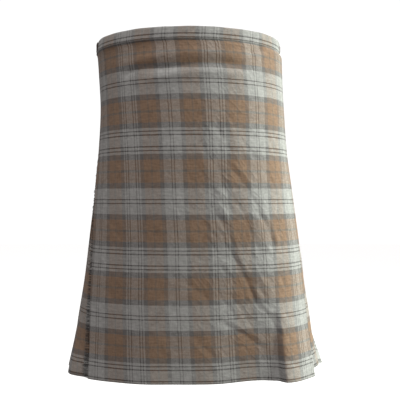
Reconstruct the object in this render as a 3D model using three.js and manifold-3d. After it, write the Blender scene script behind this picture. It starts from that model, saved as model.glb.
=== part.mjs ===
// A wrapped tartan kilt, filled out as it is worn and open at the waist and hem.
// Millimetres, +Z up. The origin is the middle of the waist, +X is the wearer's left, -Y is the front.
// Every cloth piece is a wall that follows horizontal rings, so one table of rings gives the whole form.
// Places on a ring are given as (along, depth): cloth measured from the centre front towards the wearer's
// left, and millimetres inward from the outer face.

import * as THREE from 'three';
import { mergeVertices } from 'three/addons/utils/BufferGeometryUtils.js';
import Module from 'manifold-3d';

// Driving sizes
const LENGTH = 610;
const WAIST_DROP = 25;
const BAND_HEIGHT = 21.3;
const BAND_WALL = 3;
const CLOTH_WALL = 1.5;
const PLEAT_WALL = 1.2;
const SEAM = 0.3;
const UNDER_DEPTH = 5;
const TURNED_WIDTH = 35;
const PLEAT_COUNT = 24;
const PLEAT_TUCK = 4;
const PLEAT_LAYER_GAP = 0.5;
const PLEAT_UNDERLAP = 0.5;
const FRINGE_REACH = 13;
const FRINGE_WALL = 1.2;
const APRON_STEPS = 34;
const RING_STEPS = 1440;

// Straps and buckles
const STRAP_HEIGHT = 14;
const STRAP_WALL = 1.8;
const STRAP_MIDDLE = 10.6;
const STRAP_CLEARANCE = 0.4;
const SLIT_WIDTH = 2.8;
const SLIT_HEIGHT = 15;
const BUCKLE_LENGTH = 22;
const BUCKLE_HEIGHT = 20;
const BUCKLE_WIRE = 2.4;
const TONGUE_WIDTH = 2.2;
const BUCKLE_STANDOFF = 3.4;

// The rings. below: distance under the top edge. left, right, front, back: how far the ring reaches.
// power: superellipse exponent. open: cloth from the centre front to the over apron's fringed edge.
// fold: cloth from the centre front to its folded edge. last: cloth from the centre front, going round the
// wearer's right, to the last pleat's edge.
const RINGS = [
  { below: 21, left: -169.5, right: 176, front: -125.5, back: 128, power: 2.0, open: 232, fold: 220, last: 250 },
  { below: 60, left: -167.5, right: 177, front: -126, back: 130, power: 2.05, open: 231, fold: 220, last: 250 },
  { below: 120, left: -164.8, right: 180.2, front: -124, back: 137, power: 2.15, open: 231, fold: 222, last: 252 },
  { below: 200, left: -169.1, right: 186.4, front: -121, back: 147, power: 2.25, open: 225, fold: 226, last: 256 },
  { below: 290, left: -180.8, right: 199.3, front: -117, back: 156, power: 2.35, open: 208, fold: 233, last: 264 },
  { below: 380, left: -193, right: 212.7, front: -113, back: 161, power: 2.4, open: 199, fold: 236, last: 275 },
  { below: 470, left: -206, right: 224.5, front: -108, back: 164, power: 2.5, open: 195, fold: 235, last: 286 },
  { below: 545, left: -217.5, right: 241, front: -104, back: 166, power: 2.55, open: 194, fold: 228, last: 297 },
  { below: 610, left: -231, right: 262, front: -101, back: 168, power: 2.6, open: 198, fold: 225, last: 306 },
];

// The waistband's two rings, on which the band's outer face lies.
const BAND_RINGS = [
  { below: 0, left: -169, right: 171.5, front: -127, back: 127, power: 2.0 },
  { below: 21.3, left: -172, right: 172, front: -127, back: 127, power: 2.0 },
];

// The largest folds. along: where the fold meets the hem. lean: how far it moves for each millimetre up.
// before, after: its half widths on either side. out: how far it stands out at the hem, negative for a hollow.
// top: where it ends.
const FOLDS = [
  { along: 114, lean: -0.12, before: 120, after: 56, out: -8, top: 230 },
  { along: 158, lean: 0.0, before: 14, after: 72, out: 10, top: 440 },
  { along: 284, lean: -0.04, before: 44, after: 44, out: -12, top: 490 },
  { along: -248, lean: 0.03, before: 42, after: 42, out: 8, top: 470 },
  { along: -92, lean: 0.05, before: 60, after: 60, out: 3, top: 300 },
  { along: 430, lean: 0.0, before: 70, after: 70, out: 7, top: 260 },
  { along: 560, lean: 0.02, before: 60, after: 60, out: -8, top: 300 },
  { along: 690, lean: 0.0, before: 80, after: 80, out: 7, top: 240 },
  { along: 840, lean: 0.0, before: 60, after: 60, out: -6, top: 320 },
];

const TARTAN_GREY = 0x8a8a86;
const TARTAN_BROWN = 0x6f5f50;
const LEATHER_BLACK = 0x1d1a18;
const STEEL = 0xc4c4c2;

function clothMaterial(color) {
  return new THREE.MeshStandardMaterial({ color, roughness: 0.92, metalness: 0 });
}

function leatherMaterial() {
  return new THREE.MeshStandardMaterial({ color: LEATHER_BLACK, roughness: 0.55, metalness: 0 });
}

function steelMaterial() {
  return new THREE.MeshStandardMaterial({ color: STEEL, roughness: 0.25, metalness: 1 });
}

// ---- rings ----

function signedPower(value, power) {
  return Math.sign(value) * Math.abs(value) ** power;
}

function smoothRise(value) {
  const t = Math.min(1, Math.max(0, value));
  return t * t * (3 - 2 * t);
}

// The row of a table of rings for any distance below the top edge.
function rowAt(table, below) {
  let upper = 0;
  while (upper < table.length - 2 && table[upper + 1].below < below) {
    upper += 1;
  }
  const a = table[upper];
  const b = table[upper + 1];
  const t = (below - a.below) / (b.below - a.below);
  const row = {};
  for (const key of Object.keys(a)) {
    row[key] = a[key] + (b[key] - a[key]) * t;
  }
  return row;
}

// How far the largest folds push the cloth outward at one place.
function foldOut(along, length, below) {
  let out = 0;
  for (const fold of FOLDS) {
    const rise = LENGTH - below;
    const grown = smoothRise((below - fold.top) / (LENGTH - fold.top));
    let away = along - (fold.along + fold.lean * rise);
    away -= length * Math.round(away / length);
    const half = away < 0 ? fold.before : fold.after;
    if (Math.abs(away) < half) {
      out += fold.out * grown * 0.5 * (1 + Math.cos(Math.PI * away / half));
    }
  }
  return out;
}

// A closed ring that gives the plan position of (along, depth).
class Ring {
  constructor(row) {
    this.below = row.below;
    this.row = row;
    const cx = (row.left + row.right) / 2;
    const cy = (row.front + row.back) / 2;
    const a = (row.right - row.left) / 2;
    const b = (row.back - row.front) / 2;
    const power = 2 / row.power;
    this.points = [];
    for (let i = 0; i <= RING_STEPS; i += 1) {
      const turn = (2 * Math.PI * i) / RING_STEPS;
      const x = cx + a * signedPower(Math.sin(turn), power);
      const y = cy - b * signedPower(Math.cos(turn), power);
      this.points.push(new THREE.Vector2(x, y));
    }
    this.alongs = [0];
    for (let i = 1; i <= RING_STEPS; i += 1) {
      const step = this.points[i].distanceTo(this.points[i - 1]);
      this.alongs.push(this.alongs[i - 1] + step);
    }
    this.length = this.alongs[RING_STEPS];
  }

  // Plan position on the smooth ring, with no folds.
  base(along) {
    const place = ((along % this.length) + this.length) % this.length;
    let low = 0;
    let high = RING_STEPS;
    while (high - low > 1) {
      const middle = (low + high) >> 1;
      if (this.alongs[middle] <= place) {
        low = middle;
      } else {
        high = middle;
      }
    }
    const t = (place - this.alongs[low]) / (this.alongs[high] - this.alongs[low]);
    return this.points[low].clone().lerp(this.points[high], t);
  }

  at(along, depth) {
    const reach = 4;
    const ahead = this.base(along + reach);
    const behind = this.base(along - reach);
    const tangent = ahead.sub(behind).normalize();
    const outward = new THREE.Vector2(tangent.y, -tangent.x);
    const out = foldOut(along, this.length, this.below) - depth;
    return this.base(along).addScaledVector(outward, out);
  }
}

function ringsFor(table, belows) {
  return belows.map((below) => new Ring(rowAt(table, below)));
}

// ---- walls ----

// The outline of a wall of even thickness about a centre line of [along, depth] points.
function wallOutline(centre, thickness) {
  const half = thickness / 2;
  const outer = [];
  const inner = [];
  for (let i = 0; i < centre.length; i += 1) {
    const before = unit(centre[Math.max(i - 1, 0)], centre[Math.max(i, 1)]);
    const last = centre.length - 1;
    const after = unit(centre[Math.min(i, last - 1)], centre[Math.min(i + 1, last)]);
    const normal = [before[1] + after[1], -(before[0] + after[0])];
    const scale = half / (0.5 * (normal[0] ** 2 + normal[1] ** 2));
    outer.push([centre[i][0] + normal[0] * scale, centre[i][1] + normal[1] * scale]);
    inner.push([centre[i][0] - normal[0] * scale, centre[i][1] - normal[1] * scale]);
  }
  return outer.concat(inner.reverse());
}

function unit(from, to) {
  const along = to[0] - from[0];
  const depth = to[1] - from[1];
  const size = Math.hypot(along, depth);
  return [along / size, depth / size];
}

// A closed solid through outlines of equal point counts, from the top one down.
function solidThrough(outlines, heights) {
  const count = outlines[0].length;
  const positions = [];
  outlines.forEach((outline, level) => {
    outline.forEach((point) => positions.push(point.x, point.y, heights[level]));
  });
  const indices = [];
  for (let level = 0; level < outlines.length - 1; level += 1) {
    for (let i = 0; i < count; i += 1) {
      const next = (i + 1) % count;
      const a = level * count + i;
      const b = level * count + next;
      const c = (level + 1) * count + next;
      const d = (level + 1) * count + i;
      indices.push(d, c, b, d, b, a);
    }
  }
  const bottom = (outlines.length - 1) * count;
  for (const [a, b, c] of THREE.ShapeUtils.triangulateShape(outlines[0], [])) {
    indices.push(a, b, c);
  }
  for (const [a, b, c] of THREE.ShapeUtils.triangulateShape(outlines[outlines.length - 1], [])) {
    indices.push(bottom + a, bottom + c, bottom + b);
  }
  const geometry = new THREE.BufferGeometry();
  geometry.setAttribute('position', new THREE.Float32BufferAttribute(positions, 3));
  geometry.setIndex(indices);
  return geometry;
}

// A wall whose centre line is worked out on each ring.
function wall(rings, thickness, centreOn) {
  const outlines = rings.map((ring) =>
    wallOutline(centreOn(ring), thickness).map(([along, depth]) => ring.at(along, depth)));
  const heights = rings.map((ring) => WAIST_DROP - ring.below);
  return solidThrough(outlines, heights);
}

function evenSteps(from, to, steps, depth) {
  const line = [];
  for (let i = 0; i <= steps; i += 1) {
    line.push([from + ((to - from) * i) / steps, depth]);
  }
  return line;
}

function named(name, geometry, material) {
  const mesh = new THREE.Mesh(geometry, material);
  mesh.name = name;
  return mesh;
}

// ---- cloth pieces ----

const CLOTH_TOP = BAND_HEIGHT + SEAM;
const CLOTH_BELOWS = [CLOTH_TOP, 60, 120, 200, 290, 380, 470, 545, LENGTH];

// The front that shows: fringed edge at the wearer's right, deep turned edge at the wearer's left.
function overApron() {
  const turnedStep = CLOTH_WALL + SEAM;
  return wall(ringsFor(RINGS, CLOTH_BELOWS), CLOTH_WALL, (ring) => {
    const middle = CLOTH_WALL / 2;
    const front = evenSteps(-ring.row.open, ring.row.fold, APRON_STEPS, middle);
    const turned = evenSteps(ring.row.fold, ring.row.fold - TURNED_WIDTH, 2, middle + turnedStep);
    return front.concat(turned);
  });
}

// Where the cloth leaves the last pleat and runs on under the over apron.
function underStart(ring) {
  return -(ring.row.last + pleatWidth(ring) * PLEAT_UNDERLAP) + SEAM;
}

function underEnd(ring) {
  return ring.row.fold - TURNED_WIDTH + PLEAT_TUCK;
}

function underApron() {
  return wall(ringsFor(RINGS, CLOTH_BELOWS), CLOTH_WALL, (ring) =>
    evenSteps(underStart(ring), underEnd(ring), APRON_STEPS, UNDER_DEPTH + CLOTH_WALL / 2));
}

function pleatStart(ring) {
  return ring.row.fold - PLEAT_TUCK;
}

function pleatWidth(ring) {
  return (ring.length - ring.row.last - pleatStart(ring)) / (PLEAT_COUNT + PLEAT_UNDERLAP);
}

// Knife pleats, each one a face that rises to its folded edge, turns under it and goes on to the next.
// The folded edges point to the wearer's right across the back.
function pleatLine(ring) {
  const width = pleatWidth(ring);
  const start = pleatStart(ring);
  const layer = PLEAT_WALL + PLEAT_LAYER_GAP;
  const full = 2 * layer * (1 + PLEAT_UNDERLAP);
  const top = PLEAT_WALL / 2;
  const line = [];
  for (let pleat = 0; pleat < PLEAT_COUNT; pleat += 1) {
    const from = start + pleat * width;
    for (let half = 0; half <= 3; half += 1) {
      line.push([from + half * width * PLEAT_UNDERLAP, top + full * (1 - half / 3)]);
    }
    line.push([from + 1.5 * width, top + layer]);
    line.push([from + width, top + 2 * layer]);
  }
  return line;
}

function pleats() {
  return wall(ringsFor(RINGS, CLOTH_BELOWS), PLEAT_WALL, pleatLine);
}

// The reach of the fringe past the over apron's raw edge.
function fringe() {
  return wall(ringsFor(RINGS, CLOTH_BELOWS), FRINGE_WALL, (ring) => {
    const root = -ring.row.open - SEAM;
    return evenSteps(root - FRINGE_REACH, root, 1, CLOTH_WALL / 2);
  });
}

// ---- waistband ----

const WAIST_ROW = rowAt(RINGS, CLOTH_TOP);
const BAND_MIDDLE = BAND_WALL / 2;
const BAND_UNDER_MIDDLE = UNDER_DEPTH + CLOTH_WALL / 2 + 0.5;
const BAND_JOG = 14;
const SLIT_ALONG = WAIST_ROW.fold + 6;

// One strip that starts at the fringed edge, goes right round and ends under itself.
function bandLine(ring) {
  const jogEnd = ring.length - WAIST_ROW.open - FRINGE_REACH - 3;
  const outside = evenSteps(-WAIST_ROW.open, jogEnd - BAND_JOG, 70, BAND_MIDDLE);
  const end = ring.length + WAIST_ROW.fold - TURNED_WIDTH;
  const inside = evenSteps(jogEnd, end, 36, BAND_UNDER_MIDDLE);
  return outside.concat(inside);
}

function toManifold(wasm, geometry) {
  const bare = new THREE.BufferGeometry();
  bare.setAttribute('position', geometry.getAttribute('position'));
  bare.setIndex(geometry.getIndex());
  const merged = mergeVertices(bare, 1e-4);
  const vertProperties = new Float32Array(merged.getAttribute('position').array);
  const triVerts = new Uint32Array(merged.getIndex().array);
  return new wasm.Manifold(new wasm.Mesh({ numProp: 3, vertProperties, triVerts }));
}

function fromManifold(solid) {
  const mesh = solid.getMesh();
  const geometry = new THREE.BufferGeometry();
  geometry.setAttribute('position', new THREE.Float32BufferAttribute(mesh.vertProperties, 3));
  geometry.setIndex(Array.from(mesh.triVerts));
  return geometry;
}

// A box on a ring: its length runs along the ring and its thickness through it.
function boxOnRing(ring, along, depth, length, thickness, height) {
  const geometry = new THREE.BoxGeometry(length, thickness, height);
  geometry.applyMatrix4(ringPlace(ring, along, depth));
  return geometry;
}

// The frame at a place on a ring: x along the ring, y outward, z up.
function ringPlace(ring, along, depth) {
  const ahead = ring.at(along + 2, depth);
  const behind = ring.at(along - 2, depth);
  const tangent = ahead.sub(behind).normalize();
  const place = ring.at(along, depth);
  const x = new THREE.Vector3(-tangent.x, -tangent.y, 0);
  const y = new THREE.Vector3(tangent.y, -tangent.x, 0);
  const z = new THREE.Vector3(0, 0, 1);
  const matrix = new THREE.Matrix4().makeBasis(x, y, z);
  matrix.setPosition(place.x, place.y, WAIST_DROP - ring.below);
  return matrix;
}

// The strip with the slit that the inner strap comes out through.
function waistband(wasm) {
  const strip = wall(ringsFor(BAND_RINGS, [0, BAND_HEIGHT]), BAND_WALL, bandLine);
  const ring = new Ring(rowAt(BAND_RINGS, STRAP_MIDDLE));
  const slit = boxOnRing(ring, SLIT_ALONG, BAND_MIDDLE, SLIT_WIDTH, BAND_WALL * 2, SLIT_HEIGHT);
  return fromManifold(toManifold(wasm, strip).subtract(toManifold(wasm, slit)));
}

// ---- straps and buckles ----

const OUTSIDE = -(STRAP_CLEARANCE + STRAP_WALL / 2);
const STRAP_BELOWS = [STRAP_MIDDLE - STRAP_HEIGHT / 2, STRAP_MIDDLE + STRAP_HEIGHT / 2];

// The over apron's strap: sewn on the band at the fringed edge, it runs back round the wearer's right hip.
const OUTER_STRAP = { from: -WAIST_ROW.open + 34, to: -WAIST_ROW.open - 52 };
// The under apron's strap comes out of the slit and runs back round the wearer's left hip.
const INNER_STRAP = { from: SLIT_ALONG - 42, to: SLIT_ALONG + 58 };

function outerStrap() {
  return wall(ringsFor(BAND_RINGS, STRAP_BELOWS), STRAP_WALL, () =>
    evenSteps(OUTER_STRAP.to, OUTER_STRAP.from, 10, OUTSIDE));
}

function innerStrap() {
  const inside = BAND_UNDER_MIDDLE + BAND_WALL / 2 + STRAP_CLEARANCE + STRAP_WALL / 2;
  return wall(ringsFor(BAND_RINGS, STRAP_BELOWS), STRAP_WALL, () => {
    const hidden = evenSteps(INNER_STRAP.from, SLIT_ALONG - 0.1, 4, inside);
    const shown = evenSteps(SLIT_ALONG + 0.1, INNER_STRAP.to, 6, OUTSIDE);
    return hidden.concat(shown);
  });
}

// A rectangle with round corners, centred on the origin.
function roundedRectangle(width, height, radius) {
  const shape = new THREE.Shape();
  const x = width / 2;
  const y = height / 2;
  shape.moveTo(-x + radius, -y);
  shape.lineTo(x - radius, -y);
  shape.absarc(x - radius, -y + radius, radius, -Math.PI / 2, 0, false);
  shape.lineTo(x, y - radius);
  shape.absarc(x - radius, y - radius, radius, 0, Math.PI / 2, false);
  shape.lineTo(-x + radius, y);
  shape.absarc(-x + radius, y - radius, radius, Math.PI / 2, Math.PI, false);
  shape.lineTo(-x, -y + radius);
  shape.absarc(-x + radius, -y + radius, radius, Math.PI, 1.5 * Math.PI, false);
  return shape;
}

// The buckle's frame stands just outside its strap.
function buckleFrame(ring, along) {
  const shape = roundedRectangle(BUCKLE_LENGTH, BUCKLE_HEIGHT, 4);
  const inside = roundedRectangle(BUCKLE_LENGTH - 2 * BUCKLE_WIRE, BUCKLE_HEIGHT - 2 * BUCKLE_WIRE, 2);
  shape.holes.push(inside);
  const geometry = new THREE.ExtrudeGeometry(shape, { depth: BUCKLE_WIRE, bevelEnabled: false, curveSegments: 4 });
  geometry.rotateX(Math.PI / 2);
  geometry.translate(0, BUCKLE_WIRE, 0);
  geometry.applyMatrix4(ringPlace(ring, along, -BUCKLE_STANDOFF));
  return geometry;
}

// The tongue lies inside the frame, clear of its bars.
function buckleTongue(ring, along) {
  const length = BUCKLE_LENGTH - 2 * BUCKLE_WIRE - 2 * SEAM;
  const depth = -BUCKLE_STANDOFF - TONGUE_WIDTH / 2;
  return boxOnRing(ring, along, depth, length, TONGUE_WIDTH, TONGUE_WIDTH);
}

// The leather tab that holds the buckle, sewn on the band behind it.
function buckleTab(from, to) {
  return wall(ringsFor(BAND_RINGS, STRAP_BELOWS), STRAP_WALL, () => evenSteps(from, to, 4, OUTSIDE));
}

function fastenings() {
  const ring = new Ring(rowAt(BAND_RINGS, STRAP_MIDDLE));
  const gap = 1;
  const rightBuckle = OUTER_STRAP.to + BUCKLE_LENGTH;
  const leftBuckle = INNER_STRAP.to - BUCKLE_LENGTH;
  return [
    named('strap_over_apron', outerStrap(), leatherMaterial()),
    named('buckle_right_frame', buckleFrame(ring, rightBuckle), steelMaterial()),
    named('buckle_right_tongue', buckleTongue(ring, rightBuckle), steelMaterial()),
    named('buckle_right_tab', buckleTab(OUTER_STRAP.to - gap - 30, OUTER_STRAP.to - gap), leatherMaterial()),
    named('strap_under_apron', innerStrap(), leatherMaterial()),
    named('buckle_left_frame', buckleFrame(ring, leftBuckle), steelMaterial()),
    named('buckle_left_tongue', buckleTongue(ring, leftBuckle), steelMaterial()),
    named('buckle_left_tab', buckleTab(INNER_STRAP.to + gap, INNER_STRAP.to + gap + 30), leatherMaterial()),
  ];
}

const wasm = await Module();
wasm.setup();

const kilt = new THREE.Group();
kilt.add(
  named('over_apron', overApron(), clothMaterial(TARTAN_GREY)),
  named('under_apron', underApron(), clothMaterial(TARTAN_BROWN)),
  named('pleats', pleats(), clothMaterial(TARTAN_BROWN)),
  named('fringe', fringe(), clothMaterial(TARTAN_GREY)),
  named('waistband', waistband(wasm), clothMaterial(TARTAN_GREY)),
  ...fastenings(),
);

export default kilt;
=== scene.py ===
import math

import bmesh
import bpy
import numpy as np
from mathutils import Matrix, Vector


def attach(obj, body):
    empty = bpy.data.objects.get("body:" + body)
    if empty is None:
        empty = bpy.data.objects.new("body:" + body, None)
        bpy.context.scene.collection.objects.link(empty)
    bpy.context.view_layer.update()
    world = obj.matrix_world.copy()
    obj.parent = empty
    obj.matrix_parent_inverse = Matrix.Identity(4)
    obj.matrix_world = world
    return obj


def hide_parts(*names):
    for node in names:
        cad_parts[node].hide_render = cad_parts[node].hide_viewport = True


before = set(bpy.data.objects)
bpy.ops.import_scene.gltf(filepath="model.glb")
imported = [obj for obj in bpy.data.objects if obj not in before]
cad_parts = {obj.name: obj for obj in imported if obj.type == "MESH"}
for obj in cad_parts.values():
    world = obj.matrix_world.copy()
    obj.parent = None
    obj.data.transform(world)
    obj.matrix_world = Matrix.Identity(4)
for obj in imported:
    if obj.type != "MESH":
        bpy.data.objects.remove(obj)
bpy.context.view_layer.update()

# A wrapped tartan kilt, filled out as it is worn. The tables are in millimetres, as on a cutting sheet, and
# MM turns them to metres. A place on the cloth is (along, depth, below): cloth measured round from the centre
# front towards the wearer's left, millimetres inward from the outer face, and distance under the top edge.
# WAIST_DROP: from the top edge down to the frame's origin. CLOTH_TUCK: how far the aprons and pleats run up
# inside the waistband. TANGENT_REACH: how far each way along the cloth its direction is read.
MM = 0.001
LENGTH = 610.0
WAIST_DROP = 25.0
BAND_HEIGHT = 21.3
CLOTH_TUCK = 2.6
RING_STEPS = 2880
TANGENT_REACH = 4.0

# The rings. open: cloth from the centre front to the over apron's raw edge. fold: to its folded edge.
# last: going round the wearer's right, to the last pleat's edge.
RINGS = [
    dict(below=18, left=-170.6, right=170.2, front=-125.6, back=125.4, power=2, open=232, fold=217, last=250),
    dict(below=22, left=-170.3, right=172, front=-125.6, back=126.2, power=2, open=232, fold=218, last=250),
    dict(below=30, left=-169.6, right=176.2, front=-125.8, back=128, power=2, open=232, fold=220, last=250),
    dict(below=60, left=-167.5, right=177, front=-126, back=130, power=2.05, open=231, fold=220, last=250),
    dict(below=120, left=-164.8, right=180.2, front=-124, back=137, power=2.15, open=231, fold=222, last=252),
    dict(below=200, left=-169.1, right=186.4, front=-121, back=147, power=2.25, open=225, fold=226, last=256),
    dict(below=290, left=-180.8, right=199.3, front=-117, back=156, power=2.35, open=208, fold=233, last=264),
    dict(below=380, left=-193, right=212.7, front=-113, back=161, power=2.4, open=199, fold=236, last=275),
    dict(below=470, left=-206, right=224.5, front=-108, back=164, power=2.5, open=195, fold=235, last=286),
    dict(below=545, left=-217.5, right=241, front=-104, back=166, power=2.55, open=194, fold=228, last=297),
    dict(below=610, left=-231, right=262, front=-101, back=168, power=2.6, open=198, fold=225, last=306),
]
BAND_RINGS = [
    dict(below=0, left=-169, right=171.5, front=-127, back=127, power=2),
    dict(below=21.3, left=-172, right=172, front=-127, back=127, power=2),
]

# The largest folds. along: where the fold meets the hem. lean: how far it moves for each millimetre up.
# before, after: its half widths on either side. out: how far it stands out at the hem, negative for a hollow.
# top: where it ends.
FOLDS = [
    dict(along=114, lean=-0.12, before=120, after=56, out=-8, top=230),
    dict(along=158, lean=0.0, before=14, after=72, out=10, top=440),
    dict(along=284, lean=-0.04, before=44, after=44, out=-12, top=490),
    dict(along=-248, lean=0.03, before=42, after=42, out=8, top=470),
    dict(along=-92, lean=0.05, before=60, after=60, out=3, top=300),
    dict(along=430, lean=0.0, before=70, after=70, out=7, top=260),
    dict(along=560, lean=0.02, before=60, after=60, out=-8, top=300),
    dict(along=690, lean=0.0, before=80, after=80, out=7, top=240),
    dict(along=840, lean=0.0, before=60, after=60, out=-6, top=320),
]

# Creases pressed into the over apron, each a soft trough or ridge from one place on the cloth to another.
# out is negative for a trough.
APRON_CREASES = [
    dict(a=-118, s=74, to_a=-48, to_s=66, half=7, out=-2.8),
    dict(a=-46, s=69, to_a=88, to_s=61, half=7, out=-4.8),
    dict(a=-100, s=55, to_a=96, to_s=47, half=8, out=1.8),
    dict(a=-60, s=86, to_a=84, to_s=78, half=8, out=2.2),
    dict(a=109, s=37, to_a=140, to_s=27, half=4.5, out=-3),
    dict(a=120, s=44, to_a=146, to_s=37, half=5, out=1.2),
    dict(a=58, s=230, to_a=98, to_s=276, half=4, out=-0.585),
    dict(a=66, s=226, to_a=104, to_s=268, half=4, out=0.52),
    dict(a=86, s=190, to_a=112, to_s=222, half=4, out=-0.455),
    dict(a=68, s=286, to_a=96, to_s=330, half=4, out=-0.585),
    dict(a=102, s=284, to_a=124, to_s=322, half=4, out=-0.585),
    dict(a=40, s=316, to_a=72, to_s=378, half=4, out=-0.78),
    dict(a=48, s=312, to_a=80, to_s=372, half=5, out=0.65),
    dict(a=84, s=318, to_a=116, to_s=378, half=4, out=-0.585),
    dict(a=118, s=316, to_a=150, to_s=378, half=5, out=-0.78),
    dict(a=126, s=310, to_a=156, to_s=368, half=5, out=0.585),
    dict(a=62, s=376, to_a=116, to_s=480, half=4.5, out=-1.235),
    dict(a=70, s=372, to_a=124, to_s=474, half=6, out=0.845),
    dict(a=64, s=452, to_a=100, to_s=508, half=4, out=-0.78),
    dict(a=36, s=440, to_a=66, to_s=488, half=4, out=-0.585),
    dict(a=-10, s=434, to_a=26, to_s=460, half=5, out=-0.52),
    dict(a=54, s=506, to_a=116, to_s=548, half=4.5, out=-1.105),
    dict(a=60, s=500, to_a=122, to_s=540, half=6, out=0.78),
    dict(a=-10, s=520, to_a=30, to_s=560, half=5, out=-0.585),
    dict(a=116, s=470, to_a=160, to_s=540, half=5, out=-1.04),
    dict(a=142, s=536, to_a=148, to_s=612, half=5, out=-1.17),
    dict(a=-156, s=452, to_a=-125, to_s=472, half=8, out=-0.52),
    dict(a=-150, s=330, to_a=-128, to_s=362, half=8, out=-0.455),
    dict(a=-80, s=500, to_a=-38, to_s=528, half=6, out=-0.455),
    dict(a=-60, s=402, to_a=-24, to_s=430, half=6, out=-0.39),
]

# The sett, as shares of the half sett from the centre of the band with one pair of dark lines (0) to the
# centre of the band with two pairs (1). The pattern mirrors at both. Each row starts a stripe. over is the
# faint line across the middle of the brown.
SETT = [
    dict(start=0.0, yarn="light"),
    dict(start=0.020, yarn="line"),
    dict(start=0.042, yarn="light"),
    dict(start=0.215, yarn="grey"),
    dict(start=0.31, yarn="brown"),
    dict(start=0.484, yarn="over"),
    dict(start=0.520, yarn="brown"),
    dict(start=0.69, yarn="grey"),
    dict(start=0.785, yarn="light"),
    dict(start=0.825, yarn="line"),
    dict(start=0.847, yarn="light"),
    dict(start=0.890, yarn="line"),
    dict(start=0.912, yarn="light"),
]
YARNS = {
    "light": (0.446, 0.452, 0.440),
    "line": (0.092, 0.088, 0.086),
    "grey": (0.180, 0.175, 0.170),
    "brown": (0.308, 0.207, 0.138),
    "over": (0.205, 0.176, 0.148),
}
HALF_SETT_TALL = 100.6
HALF_SETT_WIDE = 77.0
# Where the upright stripes lie: centre is the middle of the band with one pair of lines nearest the centre
# front, left and right are the half sett to either side of it.
WARP = [
    dict(below=21, centre=-40.3, left=75.5, right=78.0),
    dict(below=104, centre=-38.2, left=75.5, right=77.8),
    dict(below=190, centre=-33.8, left=74.5, right=75.9),
    dict(below=290, centre=-30.3, left=73.0, right=75.0),
    dict(below=395, centre=-26.3, left=73.7, right=77.0),
    dict(below=464, centre=-24.8, left=74.5, right=78.0),
    dict(below=530, centre=-23.5, left=76.0, right=77.5),
    dict(below=610, centre=-23.5, left=78.0, right=77.5),
]
# Where the level stripes lie, in half setts.
WEFT = [
    dict(below=0, level=0.06),
    dict(below=41, level=0.49),
    dict(below=90.8, level=1.0),
    dict(below=191.6, level=2.0),
    dict(below=295.1, level=3.0),
    dict(below=395.4, level=4.0),
    dict(below=494.7, level=5.0),
    dict(below=594.9, level=6.0),
    dict(below=610, level=6.15),
]
BAND_STRIPE_BELOW = 2.5

# Where the hem is drawn up: in the front's hollow, and on the pleats just behind the over apron's folded
# edge. up: how far at the hem, fading to nothing at LIFT_TOP. lean: how far the cloth moves in for each
# millimetre up.
LIFT_TOP = 300
FRONT_LIFT = dict(along=105, half=75, up=3.0, lean=0.0)
PLEAT_LIFT = dict(along=255, half=80, up=15.0, lean=0.32)

CLOTH_THICKNESS = 1.15
UNDER_DEPTH = 5.0
UNDER_SETT_START = 42.0
TURNED_WIDTH = 35.0
TURNED_DEPTH = 1.9
CREASED_FROM, CREASED_TO = 18, 172

# The pleats. PLEAT_UNDERLAP: the share of a pleat's width that is turned under its edge. PLEAT_LAYER: the
# depth from one layer to the next, with PRESSED_SHARE of it at the waist. Below LOOSE_FROM they hang loose.
PLEAT_THICKNESS = 0.95
PLEAT_COUNT = 24
PLEAT_TUCK = 4.0
PLEAT_UNDERLAP = 0.5
PLEAT_LAYER = 1.7
PRESSED_SHARE, PRESSED_TO = 0.58, 45
LOOSE_FROM, LOOSE_RUN = 210, 380
LOOSE_SWING, LOOSE_LIFT, LOOSE_BELLY = 1.7, 1.0, 0.7
HALF_SETTS_PER_PLEAT = 1.0 / 3.0
FIRST_EDGE_SETTS = 1.2

FRINGE_REACH = 14.5
FRINGE_PITCH = 0.95
FRINGE_WIDER_FROM, FRINGE_WIDER = 530, 0.35

# The twill. THREAD_PITCH is in metres. The warp shares are how much of the upright thread's colour shows
# where it passes under the level thread and over it. AWAY_FROM_ZERO keeps thread counts positive.
THREAD_PITCH = 0.00056
WARP_UNDER, WARP_OVER = 0.06, 0.72
AWAY_FROM_ZERO = 4000.0
TONE_SHARES = dict(yarn=0.30, cloudy=0.26, level_slubs=0.60, upright_slubs=0.42)


# ---- numbers ----

def column(table, name):
    return np.array([float(row[name]) for row in table])


def smooth_rise(value):
    t = np.clip(value, 0.0, 1.0)
    return t * t * (3.0 - 2.0 * t)


def slopes(x, y):
    """Slopes of a curve through (x, y) that never swings past its points."""
    step = np.diff(y) / np.diff(x)
    slope = np.zeros(len(x))
    slope[0], slope[-1] = step[0], step[-1]
    same = step[:-1] * step[1:] > 0
    slope[1:-1] = np.where(same, 2 * step[:-1] * step[1:] / np.where(same, step[:-1] + step[1:], 1.0), 0.0)
    return slope


def curve_at(table, name, below):
    """A column of a table at any distance below the top edge, on a smooth curve."""
    x, y = column(table, "below"), column(table, name)
    m = slopes(x, y)
    s = np.clip(below, x[0], x[-1])
    i = np.clip(np.searchsorted(x, s) - 1, 0, len(x) - 2)
    h = x[i + 1] - x[i]
    t = (s - x[i]) / h
    return ((1 + 2 * t) * (1 - t) ** 2 * y[i] + t * (1 - t) ** 2 * h * m[i]
            + t * t * (3 - 2 * t) * y[i + 1] + t * t * (t - 1) * h * m[i + 1])


# ---- rings ----

def fold_out(along, length, below):
    """How far the largest folds push the cloth outward."""
    out = np.zeros_like(along)
    for fold in FOLDS:
        grown = smooth_rise((below - fold["top"]) / (LENGTH - fold["top"]))
        away = along - (fold["along"] + fold["lean"] * (LENGTH - below))
        away = away - length * np.round(away / length)
        share = np.where(away < 0, away / fold["before"], away / fold["after"])
        bump = 0.5 * (1 + np.cos(np.pi * np.clip(share, -1, 1)))
        out += fold["out"] * grown * bump
    return out


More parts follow.
